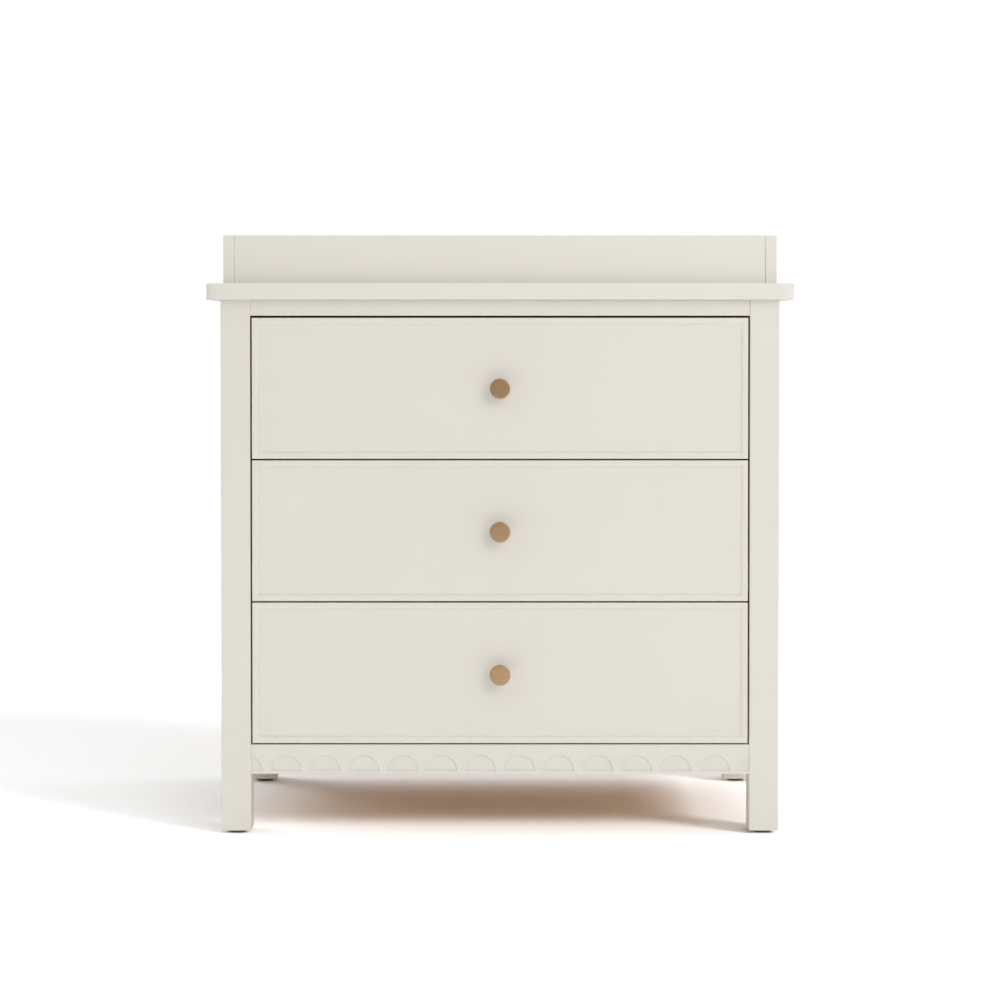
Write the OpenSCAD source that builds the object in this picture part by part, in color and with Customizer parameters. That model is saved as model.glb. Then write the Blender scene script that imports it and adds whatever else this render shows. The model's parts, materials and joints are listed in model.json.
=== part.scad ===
// Changing table: a three-drawer dresser on four legs with a raised changing tray on its top.
// Millimetres. +Z is up, the front faces -Y, X = 0 is the middle and Z = 0 is the floor.

/* [Case] */
// Width over the outer faces of the legs
case_w = 867; // [700:1:1100]
// Depth over the outer faces of the legs
case_d = 462; // [380:1:600]
// Height of the top's upper face above the floor
case_h = 856; // [760:1:1000]
// Side of each square leg
leg_w = 46; // [38:1:60]
// Radius of the softened upright edges of the legs
leg_edge_r = 2.5; // [1:0.5:5]
// Height of the apron's lower edge above the floor
apron_clear = 93; // [60:1:160]
// Height of the apron and the rear bottom rail
apron_h = 46; // [40:1:80]
// Thickness of the apron
apron_t = 20; // [16:1:28]
// How far the apron and the front rail stand back from the legs' front faces
rail_setback = 1.5; // [0:0.5:6]
// Height of the front rail under the top
front_rail_h = 24.6; // [20:0.2:40]
// Depth of the front rail, front to back
front_rail_d = 40; // [30:1:60]
// Height of the rear rail under the top
rear_rail_h = 60; // [40:1:90]
// Thickness of the rear rails
rear_rail_t = 18; // [15:1:25]
// Thickness of the side panels
side_t = 18; // [12:1:24]
// How far the side panels stand back from the legs' outer faces
side_setback = 5; // [1:0.5:10]
// Thickness of the bottom panel
bottom_t = 12; // [9:1:20]
// Thickness of the back panel
back_t = 5; // [3:0.5:8]
// How far the back panel stands in from the legs' rear faces
back_setback = 6; // [3:0.5:12]
// Depth of the grooves in the rear legs that hold the back panel
back_groove_d = 7; // [4:0.5:10]

/* [Top] */
// Thickness of the top
top_t = 25.4; // [18:0.2:32]
// Overhang of the top past the legs' outer faces
top_side_over = 22.5; // [5:0.5:40]
// Overhang of the top past the legs' front faces
top_front_over = 15; // [5:1:30]
// Overhang of the top past the legs' rear faces
top_back_over = 6; // [2:1:20]
// Corner radius of the top in plan
top_corner_r = 22; // [6:1:40]

/* [Apron scallops] */
// Radius of each half-moon scallop
scallop_r = 24; // [12:0.5:26]
// Distance between neighbouring scallops
scallop_pitch = 60.6; // [54:0.2:90]
// Depth of the scallops' recess
scallop_depth = 1.8; // [0.8:0.2:4]
// Height of the scallops' flat lower edges above the apron's lower edge
scallop_lift = 5; // [2:0.5:10]

/* [Drawers] */
// Gap above the top drawer front
gap_top = 3.2; // [1.5:0.1:5]
// Gap between drawer fronts
gap_between = 2.5; // [1.5:0.1:5]
// Gap below the lowest drawer front
gap_bottom = 2.5; // [1.5:0.1:5]
// Gap beside each drawer front
gap_side = 2.6; // [1.5:0.1:5]
// Thickness of the drawer fronts
front_t = 18; // [16:1:25]
// Width of the flat rim round a drawer front's field
rim_w = 6; // [3:0.5:15]
// Width of the sloping bevel inside the rim
bevel_w = 3.6; // [1:0.2:8]
// Fall of the sloping bevel
bevel_fall = 1.1; // [0.4:0.1:2]
// Depth of the field below the rim
field_depth = 2.6; // [1.2:0.1:5]
// Width of the steep step between the bevel and the field
step_w = 0.5; // [0.3:0.1:2]
// Height of the drawer box sides
box_h = 175; // [100:1:185]
// Height of the box's lower edge above the drawer front's lower edge
box_lift = 12; // [6:1:20]
// Thickness of the box sides and back
box_t = 12; // [10:1:18]
// Thickness of the drawer bottoms
box_bottom_t = 5; // [3:0.5:9]
// Depth of the grooves that hold the drawer bottoms
groove_d = 6; // [4:0.5:8]
// Height of the bottom groove above the box's lower edge
groove_lift = 10; // [6:0.5:20]

/* [Knobs] */
// Diameter of the knob's face
knob_d = 31.75; // [24:0.25:50]
// How far the knob stands out from the drawer front
knob_len = 27; // [20:0.5:45]
// Thickness of the knob's disc
knob_disc_t = 7; // [4:0.5:14]
// Diameter of the knob's neck
knob_neck_d = 13; // [9:0.5:20]
// Diameter of the knob's foot
knob_foot_d = 17; // [12:0.5:24]

/* [Slides] */
// Thickness of a closed slide, from leg to drawer box
slide_t = 12.7; // [12.7:0.1:14]
// Height of a slide
slide_h = 45.5; // [42:0.5:50]
// Height of the slides' middle above the drawer fronts' lower edges
slide_lift = 35; // [35:0.5:60]
// Sheet thickness of the slide members
slide_sheet = 1.2; // [1:0.1:1.5]
// Free space between the slides and the rear rails
slide_back_clear = 15; // [8:1:60]
// Length of each slide that stays engaged when the drawer is fully out
slide_keep = 20; // [20:1:80]
// Diameter of the balls between the outer and middle members
ball_outer_d = 3.4; // [3:0.1:3.5]
// Diameter of the balls between the middle and inner members
ball_inner_d = 3; // [2.6:0.1:3]
// Number of balls in one row of a cage
balls_per_row = 6; // [3:1:10]

/* [Tray] */
// Height of the tray boards
tray_h = 75; // [60:1:120]
// Distance of the tray's side boards inside the top's side edges
tray_side_in = 26; // [5:1:60]
// Thickness of the tray boards
tray_t = 17; // [12:1:22]
// Distance of the tray behind the top's front edge
tray_inset = 25; // [10:1:80]
// How far the side boards stand out past the front board
tray_end_proud = 1.5; // [0.5:0.5:5]
// Thickness of the tray's bottom panel
tray_bottom_t = 6; // [4:0.5:12]
// Depth of the rabbets that hold the tray's bottom panel
tray_rabbet = 7; // [4:0.5:9]
// Thickness of the bottom panel's edge in the rabbets
tray_tongue_t = 3; // [2:0.5:4]

/* [Hardware] */
// Diameter of the foot glides
glide_d = 28; // [20:1:36]
// Thickness of the foot glides
glide_t = 5; // [3:0.5:10]
// Diameter of the dowels
dowel_d = 8; // [6:1:10]
// Length of the dowels
dowel_len = 30; // [24:2:40]
// Diameter of the cam locks
cam_d = 15; // [12:1:15]
// Shank diameter of the wood screws
screw_d = 3.5; // [3:0.5:4]
// Length of the short wood screws under their heads
screw_len = 14; // [10:1:15]
// Width of the tray's holding plates
plate_w = 40; // [30:1:80]
// Height of the tray's holding plates
plate_h = 64; // [50:1:70]
// Thickness of the steel plates and strap loops
plate_t = 2; // [1.5:0.5:4]
// Width of the slot in each anti-tip strap loop
loop_slot_w = 26; // [20:1:40]

/* [Hidden] */
drawer_count = 3;
drawer_pieces = [
    "front", "left_side", "right_side", "back", "bottom", "knob", "fasteners",
    "slide_inner_members", "slide_middle_members", "outer_ball_cages", "inner_ball_cages"
];
case_pieces = [
    "top_panel", "front_left_leg", "front_right_leg", "rear_left_leg", "rear_right_leg",
    "left_side_panel", "right_side_panel", "front_top_rail", "rear_top_rail", "scalloped_apron",
    "rear_bottom_rail", "bottom_panel", "back_panel", "foot_glides", "slide_cleats",
    "slide_outer_members", "wood_screws", "top_screws", "cam_fittings", "dowels",
    "tray_left_board", "tray_right_board", "tray_front_board", "tray_back_board",
    "tray_bottom_panel", "tray_plates", "strap_loops"
];
$fn = 48;

paint = "#e5e1d6";
raw_wood = "#c9a878";
plywood = "#b58f62";
bronze = "#a58560";
steel = "#8d9094";
dark_plastic = "#3a3632";
eps = 0.01;

// Planes of the case, left to right and front to back
screw_head_t = 2;
rear_proud = top_back_over + plate_t + screw_head_t;
front_y = (knob_len - case_d - rear_proud) / 2;
rear_y = front_y + case_d;
leg_x = case_w / 2 - leg_w;
side_in_x = case_w / 2 - side_setback - side_t;
back_y = rear_y - back_setback - back_t;
rear_rail_y = back_y - rear_rail_t;
opening_w = 2 * leg_x;
fit = 0.3;

// Levels of the case
under_top = case_h - top_t;
opening_top = under_top - front_rail_h;
opening_floor = apron_clear + apron_h;
drawer_h = (opening_top - opening_floor - gap_top - gap_bottom - (drawer_count - 1) * gap_between)
    / drawer_count;
front_w = opening_w - 2 * gap_side;
function drawer_z(i) = opening_floor + gap_bottom + (drawer_count - i) * (drawer_h + gap_between);

// Drawer boxes
box_w = opening_w - 2 * slide_t;
box_y = front_y + front_t;
slide_len = rear_rail_y - box_y - slide_back_clear;
travel = slide_len - slide_keep;
bottom_z = box_lift + groove_lift;
box_back_z = bottom_z + box_bottom_t;
knob_bore_d = 4;
knob_bore_len = 12;
knob_screw_head_t = 2.5;

// Slide sections, measured from the leg's face towards the drawer box
slide_gap = 0.4;
outer_half = slide_h / 2;
outer_flange_w = slide_t - 2;
cage_sheet = 0.8;
ball_gap = 0.2;
outer_web_x = slide_sheet + slide_gap;
middle_web_x = outer_web_x + cage_sheet + slide_gap;
inner_cage_x = middle_web_x + slide_sheet + slide_gap;
middle_half = outer_half - slide_sheet - ball_outer_d - 2 * ball_gap;
inner_half = middle_half - slide_sheet - ball_inner_d - 2 * ball_gap;
outer_row_z = (outer_half - slide_sheet + middle_half) / 2;
inner_row_z = (middle_half - slide_sheet + inner_half) / 2;
cage_margin = 5;
cage_start = travel / 4 + cage_margin;
cage_len = slide_len - travel / 2 - 2 * cage_margin;

// Top and changing tray
top_w = case_w + 2 * top_side_over;
tray_w = top_w - 2 * tray_side_in;
tray_front_y = front_y - top_front_over + tray_inset;
tray_back_y = rear_y + top_back_over;
tray_front_board_y = tray_front_y + tray_end_proud;
tray_in_x = tray_w / 2 - tray_t;

// Hardware
screw_head_d = 7;
cam_t = 12;
cam_pin_d = 6;
cam_pin_bite = 11;
cam_setback = 30;
box_cam_t = 9;
box_cam_pin_d = 5;
box_cam_setback = 24;
box_screw_len = 32;
box_screw_share = 0.8;
top_screw_d = 4;
top_screw_bite = 15;
glide_pin_d = 5;
glide_pin_len = 16;
cleat_h = 60;
loop_end_w = 13;
loop_rise = 6;
loop_h = 18;
loop_share = 0.32;
loop_x = loop_share * case_w;
loop_z = under_top - rear_rail_h / 2;
plate_share = 0.3;
plate_x = plate_share * tray_w;
plate_hole_in = 8;
plate_z = under_top + top_t / 2 - plate_hole_in;

// Insets of the dowels and cam locks from the edges of the rails and panels
lone_dowel_in = 8;
pair_dowel_in = 10;
side_dowel_in = 40;
side_mid_z = (apron_clear + under_top) / 2;
side_dowel_rise = (under_top - apron_clear) / 2 - side_dowel_in;
rail_cam_in = 14;
tray_dowel_bite = 9;

// Places of like fasteners, as shares of the length or height that they hold
rail_cam_share = 0.3;
rail_dowel_share = 0.7;
tray_dowel_shares = [0.3, 0.75];
back_screw_shares = [-0.42, -0.14, 0.14, 0.42];
slide_screw_shares = [0.25, 0.5, 0.75];
top_screw_shares = [-0.36, -0.12, 0.12, 0.36];
box_cam_shares = [0.3, 0.8];

// The knob's turned outline
knob_edge_r = 1.2;
knob_foot_t = 3;
knob_foot_ease = 1;
knob_foot_cone = 2;
knob_disc_cone = 4;

// A bar along X, Y or Z from its middle point
module rod_x(d, x0, x1) translate([x0, 0, 0]) rotate([0, 90, 0]) cylinder(d = d, h = x1 - x0);
module rod_y(d, y0, y1) translate([0, y0, 0]) rotate([-90, 0, 0]) cylinder(d = d, h = y1 - y0);

// A box given by its lowest and highest corners
module block(low, high) translate(low) cube(high - low);

// An upright slab with rounded upright edges, standing on its lowest corner
module rounded_slab(size, r) {
    translate([r, 0, 0]) cube([size.x - 2 * r, size.y, size.z]);
    translate([0, r, 0]) cube([size.x, size.y - 2 * r, size.z]);
    for (x = [r, size.x - r]) for (y = [r, size.y - r]) translate([x, y, 0]) cylinder(r = r, h = size.z);
}

// Children on the right, and mirrored on the left
module both_sides() {
    children();
    mirror([1, 0, 0]) children();
}

// ---- Fasteners and their holes -------------------------------------------------------------

// Middle points of the dowels that run along X into the front pair or rear pair of legs
function rail_dowel_points() = [
    [leg_x, front_y + rail_setback + front_rail_d * rail_dowel_share, under_top - front_rail_h / 2],
    [leg_x, front_y + rail_setback + apron_t / 2, apron_clear + apron_h - lone_dowel_in],
    [leg_x, rear_rail_y + rear_rail_t / 2, under_top - pair_dowel_in],
    [leg_x, rear_rail_y + rear_rail_t / 2, under_top - rear_rail_h + pair_dowel_in],
    [leg_x, rear_rail_y + rear_rail_t / 2, apron_clear + apron_h - lone_dowel_in]
];

// Places of the cam locks' pins, at the legs' inner faces
function cam_points() = [
    [leg_x, front_y + rail_setback + front_rail_d * rail_cam_share, under_top - front_rail_h / 2],
    [leg_x, front_y + rail_setback + apron_t / 2, apron_clear + rail_cam_in],
    [leg_x, rear_rail_y + rear_rail_t / 2, under_top - rear_rail_h / 2],
    [leg_x, rear_rail_y + rear_rail_t / 2, apron_clear + rail_cam_in]
];

// The first cam lock turns in the front rail's underside, the rest in the rails' inner faces
function cam_axis(k) = k == 0 ? [0, 0, 0] : k == 1 ? [90, 0, 0] : [-90, 0, 0];

module rail_dowels() both_sides() for (p = rail_dowel_points()) translate(p)
    rod_x(dowel_d, -dowel_len / 2, dowel_len / 2);

// Dowels along Y between the legs and the side panels
module side_dowels() both_sides()
    for (y = [front_y + leg_w, rear_y - leg_w])
        for (k = [-1, 0, 1])
            translate([side_in_x + side_t / 2, y, side_mid_z + k * side_dowel_rise])
                rod_y(dowel_d, -dowel_len / 2, dowel_len / 2);

// Dowels along X at the corners of the tray, in the boards' end grain
module tray_dowels() both_sides()
    for (y = [tray_front_board_y + tray_t / 2, tray_back_y - tray_t / 2])
        for (k = tray_dowel_shares)
            translate([tray_in_x, y, case_h + k * tray_h])
                rod_x(dowel_d, tray_dowel_bite - dowel_len, tray_dowel_bite);

module cam_pins() both_sides() for (p = cam_points()) translate(p)
    rod_x(cam_pin_d, -cam_setback, cam_pin_bite);

module cam_discs(extra = 0) both_sides() for (k = [0 : len(cam_points()) - 1])
    translate(cam_points()[k] - [cam_setback, 0, 0]) rotate(cam_axis(k))
        translate([0, 0, -cam_t / 2 - extra]) cylinder(d = cam_d, h = cam_t + extra);

// A pan-head screw that bites along +Y from the plane Y = 0, its head on the near side
module pan_screw(length = screw_len) {
    rod_y(screw_d, -eps, length);
    rod_y(screw_head_d, -screw_head_t, 0);
}

// Screws of the back panel, the strap loops and the tray's plates, which bite forwards
function back_screw_points() = concat(
    [for (k = back_screw_shares) [k * opening_w, back_y + back_t, apron_clear + apron_h / 2]],
    [for (k = back_screw_shares) [k * opening_w, back_y + back_t, loop_z]]
);
function loop_screw_points() = [
    for (s = [-1, 1]) for (e = [-1, 1])
        [s * loop_x + e * (loop_slot_w + loop_end_w) / 2, back_y + back_t + plate_t, loop_z]
];
function plate_screw_points() = [
    for (s = [-1, 1]) for (e = [-1, 1]) for (z = [plate_hole_in, plate_h - plate_hole_in])
        [s * plate_x + e * plate_w / 4, tray_back_y + plate_t, plate_z + z]
];

module forward_screws() {
    for (p = concat(back_screw_points(), loop_screw_points(), plate_screw_points()))
        translate(p) mirror([0, 1, 0]) pan_screw();
}

// Screws that hold a slide's outer members to the cleats, with flat heads in the members' webs
module slide_screws() both_sides() for (i = [1 : drawer_count]) for (k = slide_screw_shares)
    translate([leg_x, box_y + k * slide_len, drawer_z(i) + slide_lift]) {
        rod_x(screw_d, -slide_sheet, screw_len);
        rod_x(screw_head_d, -slide_sheet, -slide_sheet / 2);
    }

// Screws that hold the top, up through the front and rear rails
module top_screw_set() {
    for (k = top_screw_shares) {
        translate([k * opening_w, front_y + rail_setback + front_rail_d / 2, opening_top])
            top_screw(front_rail_h);
        translate([k * opening_w, rear_rail_y + rear_rail_t / 2, under_top - rear_rail_h])
            top_screw(rear_rail_h);
    }
}

// A countersunk screw up through a rail of the given height into the top
module top_screw(rail_h) {
    head_d = 2 * top_screw_d;
    counterbore = rail_h - front_rail_h;
    translate([0, 0, counterbore]) cylinder(d = top_screw_d, h = rail_h - counterbore + top_screw_bite);
    translate([0, 0, counterbore]) cylinder(d = head_d, h = top_screw_d / 2);
}

// The open way to each top screw's head in a rail taller than the front rail
module top_screw_ways() {
    for (k = top_screw_shares)
        translate([k * opening_w, rear_rail_y + rear_rail_t / 2, under_top - rear_rail_h - eps])
            cylinder(d = 2 * top_screw_d + 1, h = rear_rail_h - front_rail_h + eps);
}

// ---- Case ----------------------------------------------------------------------------------

module top_panel() color(paint) difference() {
    translate([-top_w / 2, front_y - top_front_over, under_top])
        rounded_slab([top_w, case_d + top_front_over + top_back_over, top_t], top_corner_r);
    top_screw_set();
    forward_screws();
}

module leg_post(x, y) color(paint) difference() {
    translate([x, y, glide_t]) rounded_slab([leg_w, leg_w, under_top - glide_t], leg_edge_r);
    back_panel_blank();
    rail_dowels();
    side_dowels();
    cam_pins();
    slide_screws();
    glide_pins();
}

module left_leg(y) leg_post(-case_w / 2, y);
module right_leg(y) leg_post(leg_x, y);

module side_panel_blank() block([side_in_x, front_y + leg_w, apron_clear],
    [side_in_x + side_t, rear_y - leg_w, under_top]);

module side_panel() color(paint) difference() {
    side_panel_blank();
    side_dowels();
}

module front_top_rail() color(paint) difference() {
    block([-leg_x, front_y + rail_setback, opening_top],
        [leg_x, front_y + rail_setback + front_rail_d, under_top]);
    rail_dowels();
    cam_pins();
    cam_discs(cam_d);
    top_screw_set();
}

module rear_rail(z0, z1) color(paint) difference() {
    block([-leg_x, rear_rail_y, z0], [leg_x, back_y, z1]);
    rail_dowels();
    cam_pins();
    cam_discs(cam_d);
    top_screw_set();
    top_screw_ways();
    forward_screws();
}

module scallops() {
    pairs = ceil(leg_x / scallop_pitch);
    for (k = [0 : pairs - 1]) for (s = [-1, 1])
        translate([s * (k + 0.5) * scallop_pitch, front_y + rail_setback, apron_clear + scallop_lift])
            intersection() {
                rod_y(2 * scallop_r, -eps, scallop_depth);
                block([-scallop_r - 1, -1, 0], [scallop_r + 1, scallop_depth + 1, scallop_r + 1]);
            }
}

module scalloped_apron() color(paint) difference() {
    block([-leg_x, front_y + rail_setback, apron_clear],
        [leg_x, front_y + rail_setback + apron_t, opening_floor]);
    scallops();
    rail_dowels();
    cam_pins();
    cam_discs(cam_d);
}

module bottom_panel() color(plywood) difference() {
    block([-side_in_x + fit, front_y + rail_setback + apron_t, opening_floor - bottom_t],
        [side_in_x - fit, rear_rail_y, opening_floor]);
    both_sides() for (y = [front_y, rear_y - leg_w])
        block([leg_x - fit, y - fit, 0], [case_w / 2, y + leg_w + fit, case_h]);
}

module back_panel_blank() block([-leg_x - back_groove_d, back_y, apron_clear],
    [leg_x + back_groove_d, back_y + back_t, under_top]);

module back_panel() color(plywood) difference() {
    block([-leg_x - back_groove_d + fit, back_y, apron_clear],
        [leg_x + back_groove_d - fit, back_y + back_t, under_top]);
    forward_screws();
}

// Children repeated under the middle of each leg
module under_legs() both_sides() for (y = [front_y + leg_w / 2, rear_y - leg_w / 2])
    translate([case_w / 2 - leg_w / 2, y, 0]) children();

module glide_pins() under_legs() cylinder(d = glide_pin_d, h = glide_t + glide_pin_len);

module foot_glides() color(dark_plastic) {
    glide_pins();
    under_legs() cylinder(d = glide_d, h = glide_t);
}

module slide_cleats() color(raw_wood) difference() {
    both_sides() for (i = [1 : drawer_count])
        block([leg_x, front_y + leg_w, drawer_z(i) + slide_lift - cleat_h / 2],
            [side_in_x, rear_y - leg_w, drawer_z(i) + slide_lift + cleat_h / 2]);
    slide_screws();
}

module wood_screws() color(steel) {
    forward_screws();
    slide_screws();
}

module top_screws() color(steel) top_screw_set();

module cam_fittings() color(steel) {
    cam_pins();
    cam_discs();
}

module dowels() color(raw_wood) {
    rail_dowels();
    side_dowels();
    tray_dowels();
}

// A footman's loop: flat ends that are screwed down and a raised bar that a strap passes behind
module strap_loop() {
    slot = loop_slot_w / 2;
    reach = slot + loop_end_w;
    top = loop_rise + plate_t;
    bend = plate_t / 2;
    translate([0, 0, -loop_h / 2]) linear_extrude(loop_h) polygon([
        [-reach, 0], [-slot, 0], [-slot + loop_rise, loop_rise], [slot - loop_rise, loop_rise],
        [slot, 0], [reach, 0], [reach, plate_t], [slot + bend, plate_t],
        [slot - loop_rise + bend, top], [-slot + loop_rise - bend, top], [-slot - bend, plate_t],
        [-reach, plate_t]
    ]);
}

module strap_loops() color(steel) difference() {
    for (s = [-1, 1]) translate([s * loop_x, back_y + back_t, loop_z]) strap_loop();
    forward_screws();
}

// ---- Changing tray -------------------------------------------------------------------------

// A flat slab inside the tray that reaches past the boards' inner faces by the given depth
module tray_slab(reach, thickness) block(
    [-tray_in_x - reach, tray_front_board_y + tray_t - reach, case_h],
    [tray_in_x + reach, tray_back_y - tray_t + reach, case_h + thickness]);

module tray_side_board() color(paint) difference() {
    block([tray_in_x, tray_front_y, case_h], [tray_w / 2, tray_back_y, case_h + tray_h]);
    tray_slab(tray_rabbet, tray_tongue_t);
    tray_dowels();
}

module tray_cross_board(y) color(paint) difference() {
    block([-tray_in_x, y, case_h], [tray_in_x, y + tray_t, case_h + tray_h]);
    tray_slab(tray_rabbet, tray_tongue_t);
    tray_dowels();
    forward_screws();
}

module tray_bottom_panel() color(paint) {
    tray_slab(-fit, tray_bottom_t);
    tray_slab(tray_rabbet - fit, tray_tongue_t);
}

module tray_plates() color(steel) difference() {
    for (s = [-1, 1])
        block([s * plate_x - plate_w / 2, tray_back_y, plate_z],
            [s * plate_x + plate_w / 2, tray_back_y + plate_t, plate_z + plate_h]);
    forward_screws();
}

// ---- Slides --------------------------------------------------------------------------------

// A channel along Y: a web from x0 and two flanges from x1 to x2, its outer half height as given
module channel(x0, x1, x2, half) {
    block([x0, 0, -half], [x0 + slide_sheet, slide_len, half]);
    for (z = [-half, half - slide_sheet]) block([x1, 0, z], [x2, slide_len, z + slide_sheet]);
}

// Children repeated on both sides of one drawer, in a frame at the right leg's inner face whose
// X runs towards the drawer box
module at_slides(i) for (s = [0, 1]) mirror([s, 0, 0])
    translate([leg_x, box_y, drawer_z(i) + slide_lift]) mirror([1, 0, 0]) children();

module slide_outer_members() color(steel) difference() {
    for (i = [1 : drawer_count]) at_slides(i) channel(0, 0, outer_flange_w, outer_half);
    slide_screws();
}

module slide_middle_members(i) color(steel) at_slides(i)
    channel(middle_web_x, middle_web_x, slide_t - slide_sheet - slide_gap, middle_half);

module slide_inner_members(i) color(steel) difference() {
    at_slides(i) channel(slide_t - slide_sheet, inner_cage_x + cage_sheet + slide_gap, slide_t, inner_half);
    box_slide_screws(i);
}

// Two rows of balls in a folded strip that keeps them apart
module ball_cage(x0, x1, row_z, ball_d) {
    ball_x = (x0 + x1 + cage_sheet) / 2;
    spacing = cage_len / balls_per_row;
    difference() {
        union() {
            block([x0, cage_start, -row_z], [x0 + cage_sheet, cage_start + cage_len, row_z]);
            for (s = [-1, 1]) block([x0, cage_start, s * row_z - cage_sheet / 2],
                [x1, cage_start + cage_len, s * row_z + cage_sheet / 2]);
        }
        for (s = [-1, 1]) for (k = [0 : balls_per_row - 1])
            translate([ball_x, cage_start + (k + 0.5) * spacing, s * row_z - cage_sheet])
                cylinder(d = ball_d + ball_gap, h = 2 * cage_sheet);
    }
    for (s = [-1, 1]) for (k = [0 : balls_per_row - 1])
        translate([ball_x, cage_start + (k + 0.5) * spacing, s * row_z]) sphere(d = ball_d, $fn = 24);
}

module outer_ball_cages(i) color(steel) at_slides(i)
    ball_cage(outer_web_x, outer_flange_w - slide_gap, outer_row_z, ball_outer_d);

module inner_ball_cages(i) color(steel) at_slides(i)
    ball_cage(inner_cage_x, slide_t - slide_sheet - slide_gap, inner_row_z, ball_inner_d);

// ---- Drawers -------------------------------------------------------------------------------

// A prism along Z, as tall as the drawer front, whose section is the raised border's outline
module field_cutter(width) {
    half = width / 2;
    deep = field_depth;
    bevel = half - rim_w - bevel_w;
    polygon([
        [-half + rim_w, 0], [-bevel, bevel_fall], [-bevel + step_w, deep], [bevel - step_w, deep],
        [bevel, bevel_fall], [half - rim_w, 0], [half - rim_w, -1], [-half + rim_w, -1]
    ]);
}

module drawer_front(i) color(paint) difference() {
    translate([-front_w / 2, front_y, drawer_z(i)]) cube([front_w, front_t, drawer_h]);
    translate([0, front_y, drawer_z(i) + drawer_h / 2]) intersection() {
        translate([0, 0, -drawer_h / 2]) linear_extrude(drawer_h) field_cutter(front_w);
        rotate([0, 90, 0]) translate([0, 0, -front_w / 2]) linear_extrude(front_w)
            field_cutter(drawer_h);
    }
    drawer_bottom_blank(i);
    knob_screw(i);
    box_cam_pins(i);
}

// The room that a drawer bottom's grooves leave for it
module drawer_bottom_blank(i, gap = 0) block(
    [-box_w / 2 + box_t - groove_d + gap, box_y - groove_d + gap, drawer_z(i) + bottom_z],
    [box_w / 2 - box_t + groove_d - gap, box_y + slide_len, drawer_z(i) + bottom_z + box_bottom_t]);

module drawer_side(i) color(raw_wood) difference() {
    block([box_w / 2 - box_t, box_y, drawer_z(i) + box_lift],
        [box_w / 2, box_y + slide_len, drawer_z(i) + box_lift + box_h]);
    drawer_bottom_blank(i);
    box_cam_pins(i);
    box_cam_discs(i);
    box_back_screws(i);
    box_slide_screws(i);
}

module drawer_back(i) color(raw_wood) difference() {
    block([-box_w / 2 + box_t, box_y + slide_len - box_t, drawer_z(i) + box_back_z],
        [box_w / 2 - box_t, box_y + slide_len, drawer_z(i) + box_lift + box_h]);
    box_back_screws(i);
}

module drawer_bottom(i) color(plywood) drawer_bottom_blank(i, fit);

module knob(i) color(bronze) translate([0, front_y + field_depth, drawer_z(i) + drawer_h / 2])
    rotate([90, 0, 0]) difference() {
        knob_body();
        translate([0, 0, -eps]) cylinder(d = knob_bore_d, h = knob_bore_len + eps);
    }

// The knob turned about its axis: a foot, a waisted neck and a flat disc with a softened rim
module knob_body() {
    length = knob_len + field_depth;
    disc_r = knob_d / 2;
    neck_r = knob_neck_d / 2;
    foot_r = knob_foot_d / 2;
    edge_r = knob_edge_r;
    neck_z = length - knob_disc_t;
    rotate_extrude() polygon(concat(
        [[0, 0], [foot_r, 0], [foot_r, knob_foot_t - knob_foot_ease]],
        [[foot_r - knob_foot_ease, knob_foot_t], [neck_r, knob_foot_t + knob_foot_cone]],
        [[neck_r, neck_z - knob_disc_cone], [disc_r - edge_r, neck_z]],
        [for (a = [-90 : 22.5 : 0]) [disc_r - edge_r + edge_r * cos(a), neck_z + edge_r + edge_r * sin(a)]],
        [for (a = [0 : 22.5 : 90]) [disc_r - edge_r + edge_r * cos(a), length - edge_r + edge_r * sin(a)]],
        [[0, length]]
    ));
}

module knob_screw(i) translate([0, front_y + field_depth, drawer_z(i) + drawer_h / 2]) {
    rod_y(knob_bore_d, -knob_bore_len + 2, front_t - field_depth + eps);
    rod_y(2 * knob_bore_d, front_t - field_depth, front_t - field_depth + knob_screw_head_t);
}

function box_cam_zs() = [for (k = box_cam_shares) k * box_h];
module box_cam_pins(i) both_sides() for (z = box_cam_zs())
    translate([box_w / 2 - box_t / 2, box_y, drawer_z(i) + box_lift + z])
        rod_y(box_cam_pin_d, -cam_pin_bite, box_cam_setback);

module box_cam_discs(i) both_sides() for (z = box_cam_zs())
    translate([box_w / 2 - box_t, box_y + box_cam_setback, drawer_z(i) + box_lift + z])
        rod_x(cam_d, 0, box_cam_t);

module box_back_screws(i) both_sides() for (z = box_cam_zs())
    translate([box_w / 2, box_y + slide_len - box_t / 2, drawer_z(i) + box_lift + z])
        rod_x(screw_d, -box_screw_len, 0);

// Screws from the inner members into the box sides, flush with the members' faces
module box_slide_screws(i) both_sides() for (k = slide_screw_shares)
    translate([box_w / 2, box_y + k * slide_len, drawer_z(i) + slide_lift])
        rod_x(screw_d, -box_t * box_screw_share, slide_sheet);

module drawer_fasteners(i) color(steel) {
    knob_screw(i);
    box_cam_pins(i);
    box_cam_discs(i);
    box_back_screws(i);
    box_slide_screws(i);
}

// ---- The pieces ----------------------------------------------------------------------------

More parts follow.
